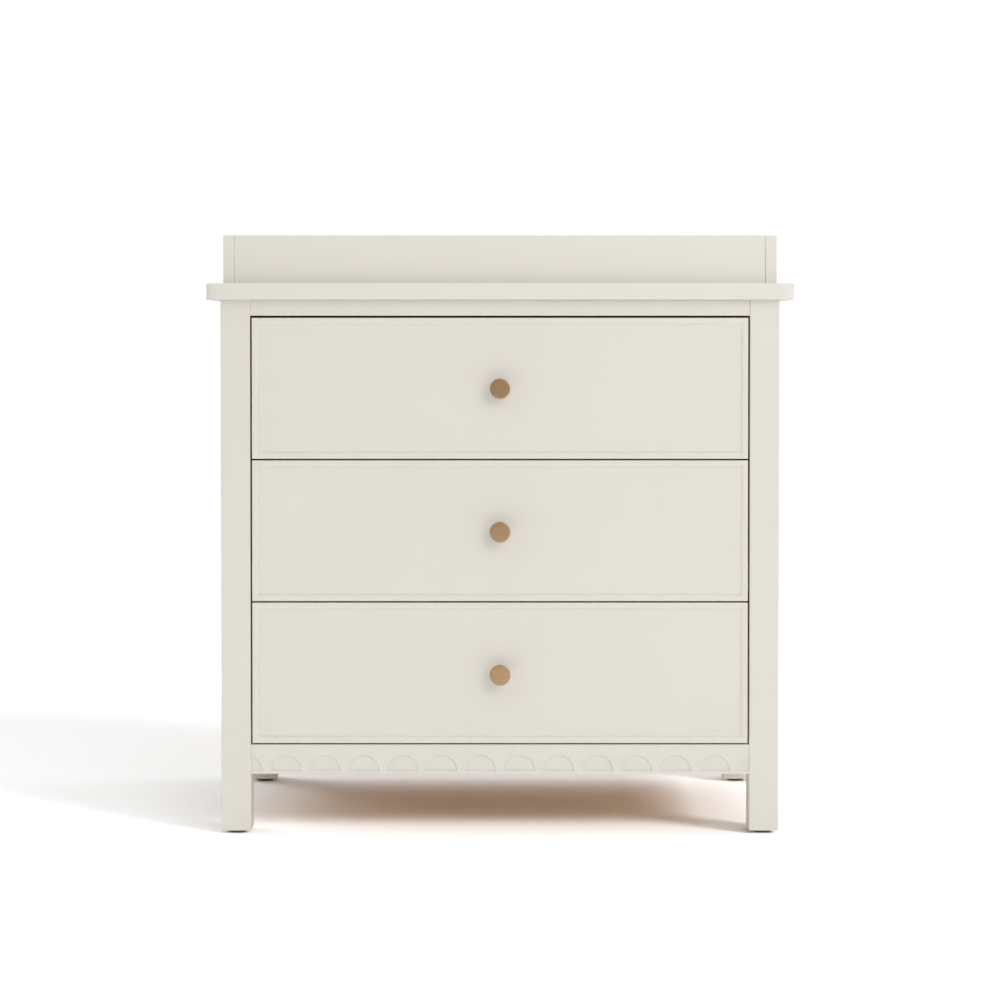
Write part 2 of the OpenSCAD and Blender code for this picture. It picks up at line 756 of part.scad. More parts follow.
top_panel();
left_leg(front_y);  // front_left_leg
right_leg(front_y);  // front_right_leg
left_leg(rear_y - leg_w);  // rear_left_leg
right_leg(rear_y - leg_w);  // rear_right_leg
mirror([1, 0, 0]) side_panel();  // left_side_panel
side_panel();  // right_side_panel
front_top_rail();
rear_rail(under_top - rear_rail_h, under_top);  // rear_top_rail
scalloped_apron();
rear_rail(apron_clear, opening_floor);  // rear_bottom_rail
bottom_panel();
back_panel();
foot_glides();
slide_cleats();
slide_outer_members();
wood_screws();
top_screws();
cam_fittings();
dowels();
mirror([1, 0, 0]) tray_side_board();  // tray_left_board
tray_side_board();  // tray_right_board
tray_cross_board(tray_front_board_y);  // tray_front_board
tray_cross_board(tray_back_y - tray_t);  // tray_back_board
tray_bottom_panel();
tray_plates();
strap_loops();
for (i = [1 : drawer_count]) {
    drawer_front(i);
    mirror([1, 0, 0]) drawer_side(i);
    drawer_side(i);
    drawer_back(i);
    drawer_bottom(i);
    knob(i);
    drawer_fasteners(i);
    slide_inner_members(i);
    slide_middle_members(i);
    outer_ball_cages(i);
    inner_ball_cages(i);
}
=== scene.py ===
"""A painted three-drawer changing table: eased boards, moulded drawer fronts, knobs, slides and fixings.

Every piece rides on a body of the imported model, and its place comes from that model's boxes.
Lengths are in metres, +Z is up and the drawers open towards -Y.
"""
import json
import math

import bmesh
import bpy
from mathutils import Matrix, Vector

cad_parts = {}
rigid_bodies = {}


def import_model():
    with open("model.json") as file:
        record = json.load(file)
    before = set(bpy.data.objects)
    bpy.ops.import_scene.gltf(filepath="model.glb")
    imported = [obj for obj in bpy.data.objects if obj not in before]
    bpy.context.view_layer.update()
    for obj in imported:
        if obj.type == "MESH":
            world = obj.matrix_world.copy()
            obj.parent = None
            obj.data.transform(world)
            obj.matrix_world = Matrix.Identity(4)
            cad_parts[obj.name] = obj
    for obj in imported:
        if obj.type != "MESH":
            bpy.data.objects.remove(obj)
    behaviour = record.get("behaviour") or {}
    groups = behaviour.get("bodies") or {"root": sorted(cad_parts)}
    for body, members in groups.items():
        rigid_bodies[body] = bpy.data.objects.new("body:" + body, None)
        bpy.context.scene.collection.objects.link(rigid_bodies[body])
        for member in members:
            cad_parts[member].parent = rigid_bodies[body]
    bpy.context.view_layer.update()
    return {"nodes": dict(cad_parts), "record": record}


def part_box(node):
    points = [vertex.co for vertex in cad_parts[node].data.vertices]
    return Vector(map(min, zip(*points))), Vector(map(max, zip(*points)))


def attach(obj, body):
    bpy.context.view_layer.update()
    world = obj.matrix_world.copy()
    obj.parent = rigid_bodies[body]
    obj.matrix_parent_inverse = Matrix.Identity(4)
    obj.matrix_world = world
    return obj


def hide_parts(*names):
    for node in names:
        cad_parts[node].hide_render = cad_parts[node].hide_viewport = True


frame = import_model()

bl_info = {
    "name": "Changing Table",
    "version": (1, 0, 0),
    "blender": (4, 5, 0),
    "location": "View3D > Sidebar > Changing Table",
    "description": "Builds a painted changing table on its packed frame",
    "category": "Add Mesh",
}

MM = 0.001
X, Y, Z = 0, 1, 2
DRAWERS = (1, 2, 3)
NODES = frame["nodes"]
BODY_OF = {node: body for body, nodes in frame["record"]["behaviour"]["bodies"].items() for node in nodes}


# ---- Settings --------------------------------------------------------------------------------


def number(name, text, default, **kind):
    return bpy.props.FloatProperty(name=name, description=text, default=default, **kind)


def length(name, text, default):
    return number(name, text, default, min=0, unit="LENGTH")


def angle(name, text, degrees):
    return number(name, text, math.radians(degrees), subtype="ANGLE")


def share(name, text, default):
    return number(name, text, default, min=0, max=1, subtype="FACTOR")


def tint(name, text, default):
    return bpy.props.FloatVectorProperty(
        name=name, description=text, default=default, size=3, min=0, max=1, subtype="COLOR"
    )


def place(name, text, default):
    return bpy.props.FloatVectorProperty(
        name=name, description=text, default=default, size=3, subtype="TRANSLATION"
    )


def heading(name, text, default):
    return bpy.props.FloatVectorProperty(
        name=name, description=text, default=default, size=3, subtype="DIRECTION"
    )


class FinishSettings(bpy.types.PropertyGroup):
    """Colours and gloss of the table's finishes"""

    paint: tint("Paint", "Colour of the painted boards", (0.725, 0.697, 0.628))
    paint_gloss: share("Paint roughness", "Roughness of the satin paint", 0.42)
    # Painted shade: a golden, wood-grained colour laid on the faces that look into the gaps round the
    # drawers, for the warm shade deep in those gaps
    gap_shade_colour: tint("Bare wood", "Colour of the unpainted faces round the drawers", (0.66, 0.51, 0.22))
    drawer_wood: tint("Drawer wood", "Colour of the drawer boxes", (0.66, 0.47, 0.27))
    plywood: tint("Plywood", "Colour of the back panel and the drawer bottoms", (0.66, 0.49, 0.31))
    brown_board: tint("Brown board", "Colour of the raw board under the case", (0.72, 0.38, 0.12))
    bronze: tint("Bronze", "Colour of the brushed knobs", (0.475, 0.313, 0.174))
    steel: tint("Steel", "Colour of the zinc-plated steel", (0.52, 0.53, 0.54))
    glide: tint("Glide", "Colour of the foot glides", (0.14, 0.095, 0.065))


class DetailSettings(bpy.types.PropertyGroup):
    """Sizes of the small shapes that finish the boards and the hardware"""

    top_ease: length("Top edge", "Radius of the top's eased edges", 1.6 * MM)
    board_ease: length("Board edge", "Radius of the painted boards' eased edges", 0.8 * MM)
    tray_ease: length("Tray edge", "Radius of the tray boards' eased edges", 0.7 * MM)
    front_ease: length("Drawer front edge", "Radius of the drawer fronts' outer edges", 0.6 * MM)
    moulding_ease: length("Moulding edge", "Radius of the edges in the fronts' borders", 0.35 * MM)
    wood_ease: length("Drawer box edge", "Radius of the drawer boxes' edges", 1.2 * MM)
    sheet_ease: length("Sheet edge", "Radius of the steel sheets' edges", 0.25 * MM)
    knob_rim: length("Knob rim", "Radius of the knobs' front rim", 1.3 * MM)
    knob_back_rim: length("Knob back rim", "Radius of the rim behind the knobs' disc", 0.8 * MM)
    knob_disc: length("Knob disc", "Thickness of the knobs' disc", 7 * MM)
    knob_neck: length("Knob neck", "Radius of the knobs' waist", 6.5 * MM)
    knob_foot: length("Knob foot", "Radius of the knobs' foot", 8.5 * MM)
    knob_bore: length("Knob bore", "Radius of the hole for the knobs' screw", 2 * MM)
    knob_bore_depth: length("Knob bore depth", "Depth of the hole for the knobs' screw", 12 * MM)


class StageSettings(bpy.types.PropertyGroup):
    """The camera and the studio light"""

    camera_distance: length("Camera distance", "Distance in front of the legs", 3.567)
    eye_height: length("Eye height", "Height of the camera", 0.779)
    lens: number("Lens", "Focal length", 82.84, unit="CAMERA")
    shift: number("Shift", "Vertical lens shift", -0.12)
    tilt: angle("Tilt", "Downward tilt of the camera", 1.166)
    key_power: number("Key light", "Power of the lamp at the front right", 50.0, unit="POWER")
    key_size: length("Key size", "Width of the lamp at the front right", 2.4)
    key_place: place("Key place", "Where the lamp at the front right stands", (1.75, -3.8, 2.1))
    side_strength: number("Side light", "Strength of the light from the right", 0.3)
    side_from: heading("Side light from", "Where the light from the right comes from", (0.75, 0.15, 0.64))
    tray_strength: number("Tray light", "Strength on the tray and the top", 0.5)
    tray_from: heading("Tray light from", "Where the light on the tray comes from", (0.0, -0.05, 1.0))
    floor_strength: number("Floor light", "Strength of the light from the right, on the floor alone", 2.8)
    floor_from: heading("Floor light from", "Where the floor's main light comes from", (0.72, -0.47, 0.46))
    fill_strength: number("Floor fill", "Strength of the light from the left, on the floor alone", 1.4)
    fill_from: heading("Floor fill from", "Where the floor's fill comes from", (-0.78, 0.45, 0.42))
    spread: angle("Light spread", "Angle of the side and floor lights; fill twice, tray three times", 18)
    floor_bounce: share("Floor bounce", "Share of its light that the floor gives back to the table", 0.73)
    room: number("Room light", "Brightness of the white room", 0.93)
    room_front: share("Room front", "Share of the room's light that comes from the camera's side", 0.24)
    room_top: share("Room top", "Share of the room's light that comes from overhead", 0.95)
    room_back: share("Room back", "Share of the room's light that comes from behind the table", 0.8)


# ---- Shader helpers --------------------------------------------------------------------------


def shader_node(tree, kind, inputs=None, **settings):
    """A shader node with its settings, its input values and its input links"""
    node = tree.nodes.new(kind)
    for key, value in settings.items():
        setattr(node, key, value)
    for key, value in (inputs or {}).items():
        if isinstance(value, bpy.types.NodeSocket):
            tree.links.new(value, node.inputs[key])
        else:
            node.inputs[key].default_value = value
    return node


def coordinates(tree, scale=(1, 1, 1), turn=(0, 0, 0)):
    """Object coordinates, turned and then stretched"""
    source = shader_node(tree, "ShaderNodeTexCoord").outputs["Object"]
    turned = shader_node(tree, "ShaderNodeMapping", {"Vector": source, "Rotation": turn}).outputs[0]
    return shader_node(tree, "ShaderNodeMapping", {"Vector": turned, "Scale": scale}).outputs[0]


def noise(tree, vector, scale, detail=2.0, roughness=0.5, distortion=0.0):
    values = {
        "Vector": vector,
        "Scale": scale,
        "Detail": detail,
        "Roughness": roughness,
        "Distortion": distortion,
    }
    return shader_node(tree, "ShaderNodeTexNoise", values).outputs["Fac"]


def ramp(tree, factor, *stops):
    """A colour ramp from (position, colour) stops"""
    node = shader_node(tree, "ShaderNodeValToRGB", {"Fac": factor})
    elements = node.color_ramp.elements
    while len(elements) < len(stops):
        elements.new(0.5)
    for element, (position, colour) in zip(elements, stops):
        element.position = position
        element.color = (*colour, 1)
    return node.outputs["Color"]


def spread(tree, value, low, high, first=0.0, last=1.0):
    """A value between first and last spread from low to high"""
    inputs = {"Value": value, "From Min": first, "From Max": last, "To Min": low, "To Max": high}
    return shader_node(tree, "ShaderNodeMapRange", inputs).outputs["Result"]


def bump(tree, height, distance, strength=1.0, normal=None):
    inputs = {"Height": height, "Distance": distance, "Strength": strength}
    if normal is not None:
        inputs["Normal"] = normal
    return shader_node(tree, "ShaderNodeBump", inputs).outputs["Normal"]


def calculate(tree, operation, *values):
    return shader_node(tree, "ShaderNodeMath", dict(enumerate(values)), operation=operation).outputs[0]


def mix(tree, factor, first, second, blend="MULTIPLY"):
    """Two colours blended, with the factor saying how far"""
    inputs = {0: factor, 6: first, 7: second}
    return shader_node(tree, "ShaderNodeMix", inputs, data_type="RGBA", blend_type=blend).outputs[2]


def grey(level):
    return (level, level, level)


def shade(colour, factor):
    return tuple(min(1.0, c * factor) for c in colour)


def new_material(name, **constants):
    """A principled material with constant values on the shader's own sockets"""
    material = bpy.data.materials.new(name)
    material.use_nodes = True
    shader = material.node_tree.nodes["Principled BSDF"]
    for key, value in constants.items():
        shader.inputs[key.replace("_", " ")].default_value = value
    return material, material.node_tree, shader


# ---- Finishes --------------------------------------------------------------------------------


# The legs' faces towards the drawers are plain paint up to this height above the apron, and carry the
# painted gap shade above it
PAINTED_FOOT = 24 * MM
# Depth that still counts as the face itself
HAIR = 0.1 * MM

# Turns each board's grain to lie along X
TURN_TO_X = {"x": (0, 0, 0), "y": (0, 0, -math.pi / 2), "z": (0, math.pi / 2, 0)}

# Fineness of the patterns on X, Y and Z, or in every direction where there is one number
PAINT_GRAIN = (5, 170, 170)
PAINT_CLOUD = 2.6
PAINT_PATCH = 9
PAINT_PEEL = 420
WOOD_BOARD = (0.12, 1, 1)
WOOD_FIBRE = (7, 420, 420)
WOOD_PORE = (22, 700, 700)
BRUSHING = (25, 900, 1500)
DRAWING = (900, 14, 900)
ZINC_SPANGLE = 160.0
NYLON_GRIT = 1400

# Heights of the fine reliefs
PAINT_RELIEF = 0.04 * MM
FIBRE_RELIEF = 0.12 * MM
METAL_RELIEF = 0.02 * MM
GRIT_RELIEF = 0.03 * MM

# Fineness of each wood's growth rings and how much darker its late wood is
WOODS = {"drawer_wood": (48.0, 0.16), "plywood": (8.0, 0.10), "brown_board": (8.0, 0.10)}


def gap_shade_on_leg(tree, x, z):
    """1 where the gap shade is painted: on the leg's face towards the drawers, from a little above the apron
    """
    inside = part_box("front_right_leg")[0].x + HAIR
    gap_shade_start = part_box("scalloped_apron")[1].z + PAINTED_FOOT
    facing = calculate(tree, "LESS_THAN", calculate(tree, "ABSOLUTE", x), inside)
    above = calculate(tree, "GREATER_THAN", z, gap_shade_start)
    return calculate(tree, "MULTIPLY", facing, above)


def gap_shade_on_rail(tree, x, z):
    """1 where the gap shade is painted: on the rail's underside"""
    return calculate(tree, "LESS_THAN", z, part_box("front_top_rail")[0].z + HAIR)


# The boards that carry painted gap shade on their faces towards the drawers, and how to find those faces
GAP_SHADE_FACES = {"leg": gap_shade_on_leg, "rail": gap_shade_on_rail}


def make_paint(finish, along, gap_shade=None):
    """Sprayed satin paint over sanded wood, whose faint grain runs along one axis, with painted gap shade
    where asked
    """
    material, tree, shader = new_material(f"satin_paint_{gap_shade or along}", Specular_IOR_Level=0.42)
    plain = coordinates(tree)
    grain = coordinates(tree, PAINT_GRAIN, TURN_TO_X[along])
    cloud = noise(tree, plain, PAINT_CLOUD, 3)
    colour = ramp(tree, cloud, (0.3, shade(finish.paint, 0.985)), (0.7, shade(finish.paint, 1.01)))
    # Painted shade: a golden wood-grained colour mixed in where the gaps round the drawers look in
    if gap_shade:
        parts = shader_node(tree, "ShaderNodeSeparateXYZ", {"Vector": plain})
        gap_shade_mask = GAP_SHADE_FACES[gap_shade](tree, parts.outputs["X"], parts.outputs["Z"])
        fibre = noise(tree, grain, 2, 3, 0.6)
        wood = ramp(tree, fibre, (0.3, shade(finish.gap_shade_colour, 0.85)), (0.7, finish.gap_shade_colour))
        colour = mix(tree, gap_shade_mask, colour, wood, "MIX")
    tree.links.new(colour, shader.inputs["Base Color"])
    patches = noise(tree, plain, PAINT_PATCH, 4, 0.6)
    gloss = spread(tree, patches, finish.paint_gloss - 0.05, finish.paint_gloss + 0.07)
    tree.links.new(gloss, shader.inputs["Roughness"])
    telegraph = bump(tree, noise(tree, grain, 1, 2), PAINT_RELIEF, 0.2)
    peel = bump(tree, noise(tree, plain, PAINT_PEEL, 1), PAINT_RELIEF, 0.3, telegraph)
    tree.links.new(peel, shader.inputs["Normal"])
    return material


def make_wood(name, colour, along):
    """Sealed wood with growth rings, fibres and short pores along one axis"""
    material, tree, shader = new_material(f"{name}_{along}", Specular_IOR_Level=0.35)
    board, fibre, pore = (
        coordinates(tree, stretch, TURN_TO_X[along]) for stretch in (WOOD_BOARD, WOOD_FIBRE, WOOD_PORE)
    )
    ring_scale, contrast = WOODS[name]
    rings = {"Vector": board, "Scale": ring_scale, "Distortion": 4.5, "Detail": 3.0, "Detail Scale": 1.1}
    waves = shader_node(tree, "ShaderNodeTexWave", rings, wave_type="RINGS", rings_direction="X")
    # Each layer darkens the wood a little, from its first stop to its second
    layers = (
        (noise(tree, board, 5, 3, 0.55, 0.4), (0.3, (0.93, 0.915, 0.89)), (0.75, (1, 1, 1))),
        (noise(tree, fibre, 1, 3, 0.6), (0.3, (0.89, 0.87, 0.83)), (0.72, (1, 1, 1))),
        (noise(tree, pore, 1, 1), (0.28, (0.80, 0.75, 0.68)), (0.38, (1, 1, 1))),
    )
    late_wood = shade(colour, 1 - contrast)
    tone = ramp(tree, waves.outputs["Fac"], (0.0, shade(colour, 1.05)), (0.6, colour), (1.0, late_wood))
    for factor, dark, light in layers:
        tone = mix(tree, 1.0, tone, ramp(tree, factor, dark, light))
    tree.links.new(tone, shader.inputs["Base Color"])
    tree.links.new(spread(tree, noise(tree, fibre, 1, 2), 0.42, 0.62), shader.inputs["Roughness"])
    tree.links.new(bump(tree, noise(tree, fibre, 1, 3), FIBRE_RELIEF, 0.5), shader.inputs["Normal"])
    return material


def make_bronze(finish):
    """Brushed champagne bronze: long fine scratches across the face, warm and semi-matt"""
    material, tree, shader = new_material("champagne_bronze", Metallic=1.0)
    scratches = noise(tree, coordinates(tree, BRUSHING), 1, 3, 0.65)
    colour = ramp(tree, scratches, (0.25, shade(finish.bronze, 0.86)), (0.75, shade(finish.bronze, 1.10)))
    tree.links.new(colour, shader.inputs["Base Color"])
    tree.links.new(spread(tree, scratches, 0.26, 0.42), shader.inputs["Roughness"])
    tree.links.new(bump(tree, scratches, METAL_RELIEF, 0.35), shader.inputs["Normal"])
    return material


def make_steel(finish, name="zinc_steel", brightness=1.0, roughness=0.34):
    """Zinc-plated steel with a faint spangle and drawing lines along Y"""
    material, tree, shader = new_material(name, Metallic=1.0)
    crystals = {"Vector": coordinates(tree), "Scale": ZINC_SPANGLE}
    spangle = shader_node(tree, "ShaderNodeTexVoronoi", crystals).outputs["Distance"]
    plated = shade(finish.steel, brightness)
    colour = ramp(tree, spangle, (0.1, shade(plated, 0.9)), (0.8, shade(plated, 1.08)))
    tree.links.new(colour, shader.inputs["Base Color"])
    lines = noise(tree, coordinates(tree, DRAWING), 1, 2)
    tree.links.new(spread(tree, lines, roughness - 0.07, roughness + 0.09), shader.inputs["Roughness"])
    tree.links.new(bump(tree, lines, METAL_RELIEF, 0.3), shader.inputs["Normal"])
    return material


def make_plastic(finish):
    """Moulded brown nylon with a fine spark texture"""
    material, tree, shader = new_material("glide_nylon", Specular_IOR_Level=0.4)
    grit = noise(tree, coordinates(tree), NYLON_GRIT, 2)
    colour = ramp(tree, grit, (0.3, shade(finish.glide, 0.85)), (0.7, shade(finish.glide, 1.25)))
    tree.links.new(colour, shader.inputs["Base Color"])
    tree.links.new(spread(tree, grit, 0.45, 0.65), shader.inputs["Roughness"])
    tree.links.new(bump(tree, grit, GRIT_RELIEF, 0.5), shader.inputs["Normal"])
    return material


# The finishes already made, by name and grain
MADE = {}


def finish_named(name, along="x"):
    """The material of that name, made the first time it is asked for"""
    finish = bpy.context.scene.table_finish
    makers = {
        "paint": lambda: make_paint(finish, along),
        # These two carry the painted gap shade
        "leg_paint_and_gap_shade": lambda: make_paint(finish, "z", "leg"),
        "rail_paint_and_gap_shade": lambda: make_paint(finish, "x", "rail"),
        "drawer_wood": lambda: make_wood("drawer_wood", finish.drawer_wood, along),
        "plywood": lambda: make_wood("plywood", finish.plywood, along),
        "brown_board": lambda: make_wood("brown_board", finish.brown_board, along),
        "bronze": lambda: make_bronze(finish),
        "steel": lambda: make_steel(finish),
        "bright_steel": lambda: make_steel(finish, "bright_steel", 1.25, 0.2),
        "plastic": lambda: make_plastic(finish),
    }
    key = (name, along)
    if key not in MADE:
        MADE[key] = makers[name]()
    return MADE[key]


def coat(node, material):
    """A carried-over node gets its own finish"""
    mesh_object = NODES[node]
    mesh_object.data.materials.clear()
    mesh_object.data.materials.append(material)


# ---- Mesh helpers ----------------------------------------------------------------------------


# Shortest edges that are rounded over
BOARD_EDGE = 12 * MM
APRON_EDGE = 60 * MM
MOULDING_EDGE = 100 * MM
FRONT_EDGE = 15 * MM
SHEET_EDGE = 4 * MM

# Faces up to this wide shade as part of a rounding
NARROW = 3 * MM
# How close two points are to touch, and how close to be one point of a node's loose triangles
TOUCHING = 0.01 * MM
SAME_POINT = 0.001 * MM

# Turns between two faces: still flat, sharp to the eye, a real corner, and the slope of a moulding
FLAT_TURN = math.radians(0.4)
SHARP_TURN = math.radians(38)
CORNER_TURN = math.radians(60)
MOULDING_TURN = math.radians(35)


def set_shading(mesh):
    """Narrow strips of a rounding shade smoothly, broad faces stay flat, and real corners stay sharp"""
    for edge in mesh.edges:
        edge.smooth = len(edge.link_faces) == 2 and edge.calc_face_angle(math.pi) < SHARP_TURN
    for face in mesh.faces:
        longest = max(edge.calc_length() for edge in face.edges)
        face.smooth = face.calc_area() < NARROW * longest


def to_piece(mesh, name, body, material, *replaced):
    """Turns a finished bmesh into a piece that rides on its body and stands for its nodes"""
    set_shading(mesh)
    data = bpy.data.meshes.new(name)
    mesh.to_mesh(data)
    mesh.free()
    data.materials.append(material)
    piece = bpy.data.objects.new(name, data)
    bpy.context.scene.collection.objects.link(piece)
    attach(piece, body)
    if replaced:
        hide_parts(*replaced)
    return piece


def merged_copy(node):
    """A node's mesh with its loose triangles joined and its flat faces made whole"""
    mesh = bmesh.new()
    mesh.from_mesh(NODES[node].data)
    bmesh.ops.remove_doubles(mesh, verts=mesh.verts, dist=SAME_POINT)
    bmesh.ops.dissolve_limit(mesh, angle_limit=FLAT_TURN, verts=mesh.verts, edges=mesh.edges)
    return mesh


def lies_at(edge, axis, level):
    """Whether the whole edge has that value on that axis"""
    return all(abs(vert.co[axis] - level) < TOUCHING for vert in edge.verts)


def on_outline(edge, low, high):
    """Whether the edge lies on the board's left, right, lower or upper face"""
    return any(lies_at(edge, axis, corner[axis]) for axis in (X, Z) for corner in (low, high))


def corner_edges(mesh, least_length, least_turn=CORNER_TURN):
    """The convex edges that are at least that long and turn at least that far"""
    return [
        edge
        for edge in mesh.edges
        if len(edge.link_faces) == 2
        and edge.calc_length() >= least_length
        and edge.calc_face_angle_signed(0) >= least_turn
    ]


def ease(mesh, edges, radius, segments=3):
    """Rounds those edges over"""
    if edges:
        bmesh.ops.bevel(
            mesh,
            geom=edges,
            offset=radius,
            segments=segments,
            profile=0.5,
            affect="EDGES",
            material=-1,
            clamp_overlap=True,
        )


def eased_board(node, radius, material, least_length=BOARD_EDGE):
    """A copy of a board with its long outer edges rounded over"""
    mesh = merged_copy(node)
    ease(mesh, corner_edges(mesh, least_length), radius)
    return to_piece(mesh, f"{node}_eased", BODY_OF[node], material, node)


def turned(profile, steps, centre, axis_turn):
    """A solid turned about Z from (radius, height) points, then turned and moved into place"""
    mesh = bmesh.new()
    points = [mesh.verts.new((radius, 0, height)) for radius, height in profile]
    outline = [mesh.edges.new(pair) for pair in zip(points, points[1:])]
    bmesh.ops.spin(
        mesh,
        geom=points + outline,
        cent=(0, 0, 0),
        axis=(0, 0, 1),
        angle=2 * math.pi,
        steps=steps,
        use_merge=True,
    )
    bmesh.ops.remove_doubles(mesh, verts=mesh.verts, dist=TOUCHING)
    bmesh.ops.recalc_face_normals(mesh, faces=mesh.faces)
    bmesh.ops.transform(mesh, matrix=Matrix.Translation(centre) @ axis_turn, verts=mesh.verts)
    return mesh


def arc(centre_radius, centre_height, radius, first, last, steps):
    """Points of a round stretch in a turned outline, between two angles in degrees"""
    angles = [math.radians(first + (last - first) * k / steps) for k in range(steps + 1)]
    return [(centre_radius + radius * math.cos(a), centre_height + radius * math.sin(a)) for a in angles]


# ---- Operators: the pieces -------------------------------------------------------------------


# Wider than the top's round corners: edges further in aren't part of its rim
RIM_MARGIN = 23 * MM


class BuildTop(bpy.types.Operator):
    """Builds the top with its round corners and eased edges"""

    bl_idname = "changing_table.top"
    bl_label = "Top"

    def execute(self, context):
        detail = context.scene.table_detail
        mesh = merged_copy("top_panel")
        low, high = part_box("top_panel")

        def in_middle(edge):
            return all(
                low[axis] + RIM_MARGIN < vert.co[axis] < high[axis] - RIM_MARGIN
                for vert in edge.verts
                for axis in (X, Y)
            )

        rim = [
            edge
            for edge in corner_edges(mesh, 0)
            if (lies_at(edge, Z, low.z) or lies_at(edge, Z, high.z)) and not in_middle(edge)
        ]
        ease(mesh, rim, detail.top_ease, 4)
        top = to_piece(mesh, "top_panel_eased", "case", finish_named("paint", "x"), "top_panel")
        bpy.data.collections["lit_by_tray_light"].objects.link(top)
        return {"FINISHED"}


class BuildCase(bpy.types.Operator):
    """Builds the legs, rails, apron and panels of the case"""

    bl_idname = "changing_table.case"
    bl_label = "Case"

    def execute(self, context):
        detail = context.scene.table_detail
        # The front legs carry the painted gap shade on their faces towards the drawers
        for leg in ("front_left_leg", "front_right_leg"):
            coat(leg, finish_named("leg_paint_and_gap_shade"))
        for leg in ("rear_left_leg", "rear_right_leg"):
            coat(leg, finish_named("paint", "z"))
        # The front top rail carries the painted gap shade on its underside
        eased_board("front_top_rail", detail.board_ease, finish_named("rail_paint_and_gap_shade"))
        for rail in ("rear_top_rail", "rear_bottom_rail"):
            eased_board(rail, detail.board_ease, finish_named("paint", "x"))
        for panel in ("left_side_panel", "right_side_panel"):
            eased_board(panel, detail.board_ease, finish_named("paint", "z"))
        eased_board("bottom_panel", detail.board_ease, finish_named("brown_board", "x"))
        eased_board("back_panel", detail.board_ease, finish_named("plywood", "z"))
        eased_board("slide_cleats", detail.board_ease, finish_named("drawer_wood", "y"))
        self.build_apron(detail)
        return {"FINISHED"}

    def build_apron(self, detail):
        """The apron's free edges are eased, and so are the rims of its scallops"""
        mesh = merged_copy("scalloped_apron")
        low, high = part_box("scalloped_apron")
        rims = [
            edge
            for edge in mesh.edges
            if lies_at(edge, Y, low.y)
            and not on_outline(edge, low, high)
            and edge.calc_face_angle(0) >= CORNER_TURN
        ]
        ease(mesh, rims, detail.moulding_ease, 2)
        ease(mesh, corner_edges(mesh, APRON_EDGE), detail.board_ease)
        to_piece(mesh, "scalloped_apron_eased", "case", finish_named("paint", "x"), "scalloped_apron")


class BuildTray(bpy.types.Operator):
    """Builds the raised changing tray"""

    bl_idname = "changing_table.tray"
    bl_label = "Tray"

    def execute(self, context):
        detail = context.scene.table_detail
        lit = bpy.data.collections["lit_by_tray_light"].objects
        for board in ("tray_left_board", "tray_right_board"):
            lit.link(eased_board(board, detail.tray_ease, finish_named("paint", "y")))
        for board in ("tray_front_board", "tray_back_board"):
            lit.link(eased_board(board, detail.tray_ease, finish_named("paint", "x")))
        coat("tray_bottom_panel", finish_named("paint", "x"))
        return {"FINISHED"}


class BuildDrawerFronts(bpy.types.Operator):
    """Builds the moulded drawer fronts"""

    bl_idname = "changing_table.drawer_fronts"
    bl_label = "Drawer fronts"

    def execute(self, context):
        detail = context.scene.table_detail
        for drawer in DRAWERS:
            node = f"drawer_{drawer}_front"
            mesh = merged_copy(node)
            low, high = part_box(node)
            mouldings = [
                edge
                for edge in corner_edges(mesh, MOULDING_EDGE, MOULDING_TURN)
                if not on_outline(edge, low, high)
            ]
            ease(mesh, mouldings, detail.moulding_ease, 2)
            rim = [edge for edge in corner_edges(mesh, FRONT_EDGE) if on_outline(edge, low, high)]
            ease(mesh, rim, detail.front_ease, 3)
            to_piece(mesh, f"{node}_eased", BODY_OF[node], finish_named("paint", "x"), node)
        return {"FINISHED"}


class BuildDrawerBoxes(bpy.types.Operator):
    """Builds the wooden drawer boxes"""

    bl_idname = "changing_table.drawer_boxes"
    bl_label = "Drawer boxes"

    def execute(self, context):
        detail = context.scene.table_detail
        for drawer in DRAWERS:
            for side in ("left_side", "right_side"):
                eased_board(f"drawer_{drawer}_{side}", detail.wood_ease, finish_named("drawer_wood", "y"))
            eased_board(f"drawer_{drawer}_back", detail.wood_ease, finish_named("drawer_wood", "x"))
            coat(f"drawer_{drawer}_bottom", finish_named("plywood", "x"))
        return {"FINISHED"}


# The knobs' small shapes, from the foot to the disc
KNOB_STEPS = 72
FOOT_CHAMFER = 0.4 * MM
FOOT_ROUND = 1 * MM
FOOT_HEIGHT = 3 * MM
LOWER_HOLLOW = 3 * MM
UPPER_HOLLOW = 5 * MM
UPPER_HOLLOW_DROP = 5.6 * MM
DISC_BACK_FLAT = 2.2 * MM
DISC_BACK_DISH = 0.1 * MM
# Rings on the disc's face, as shares of its radius
FACE_RINGS = (0.6, 0.3, 0)


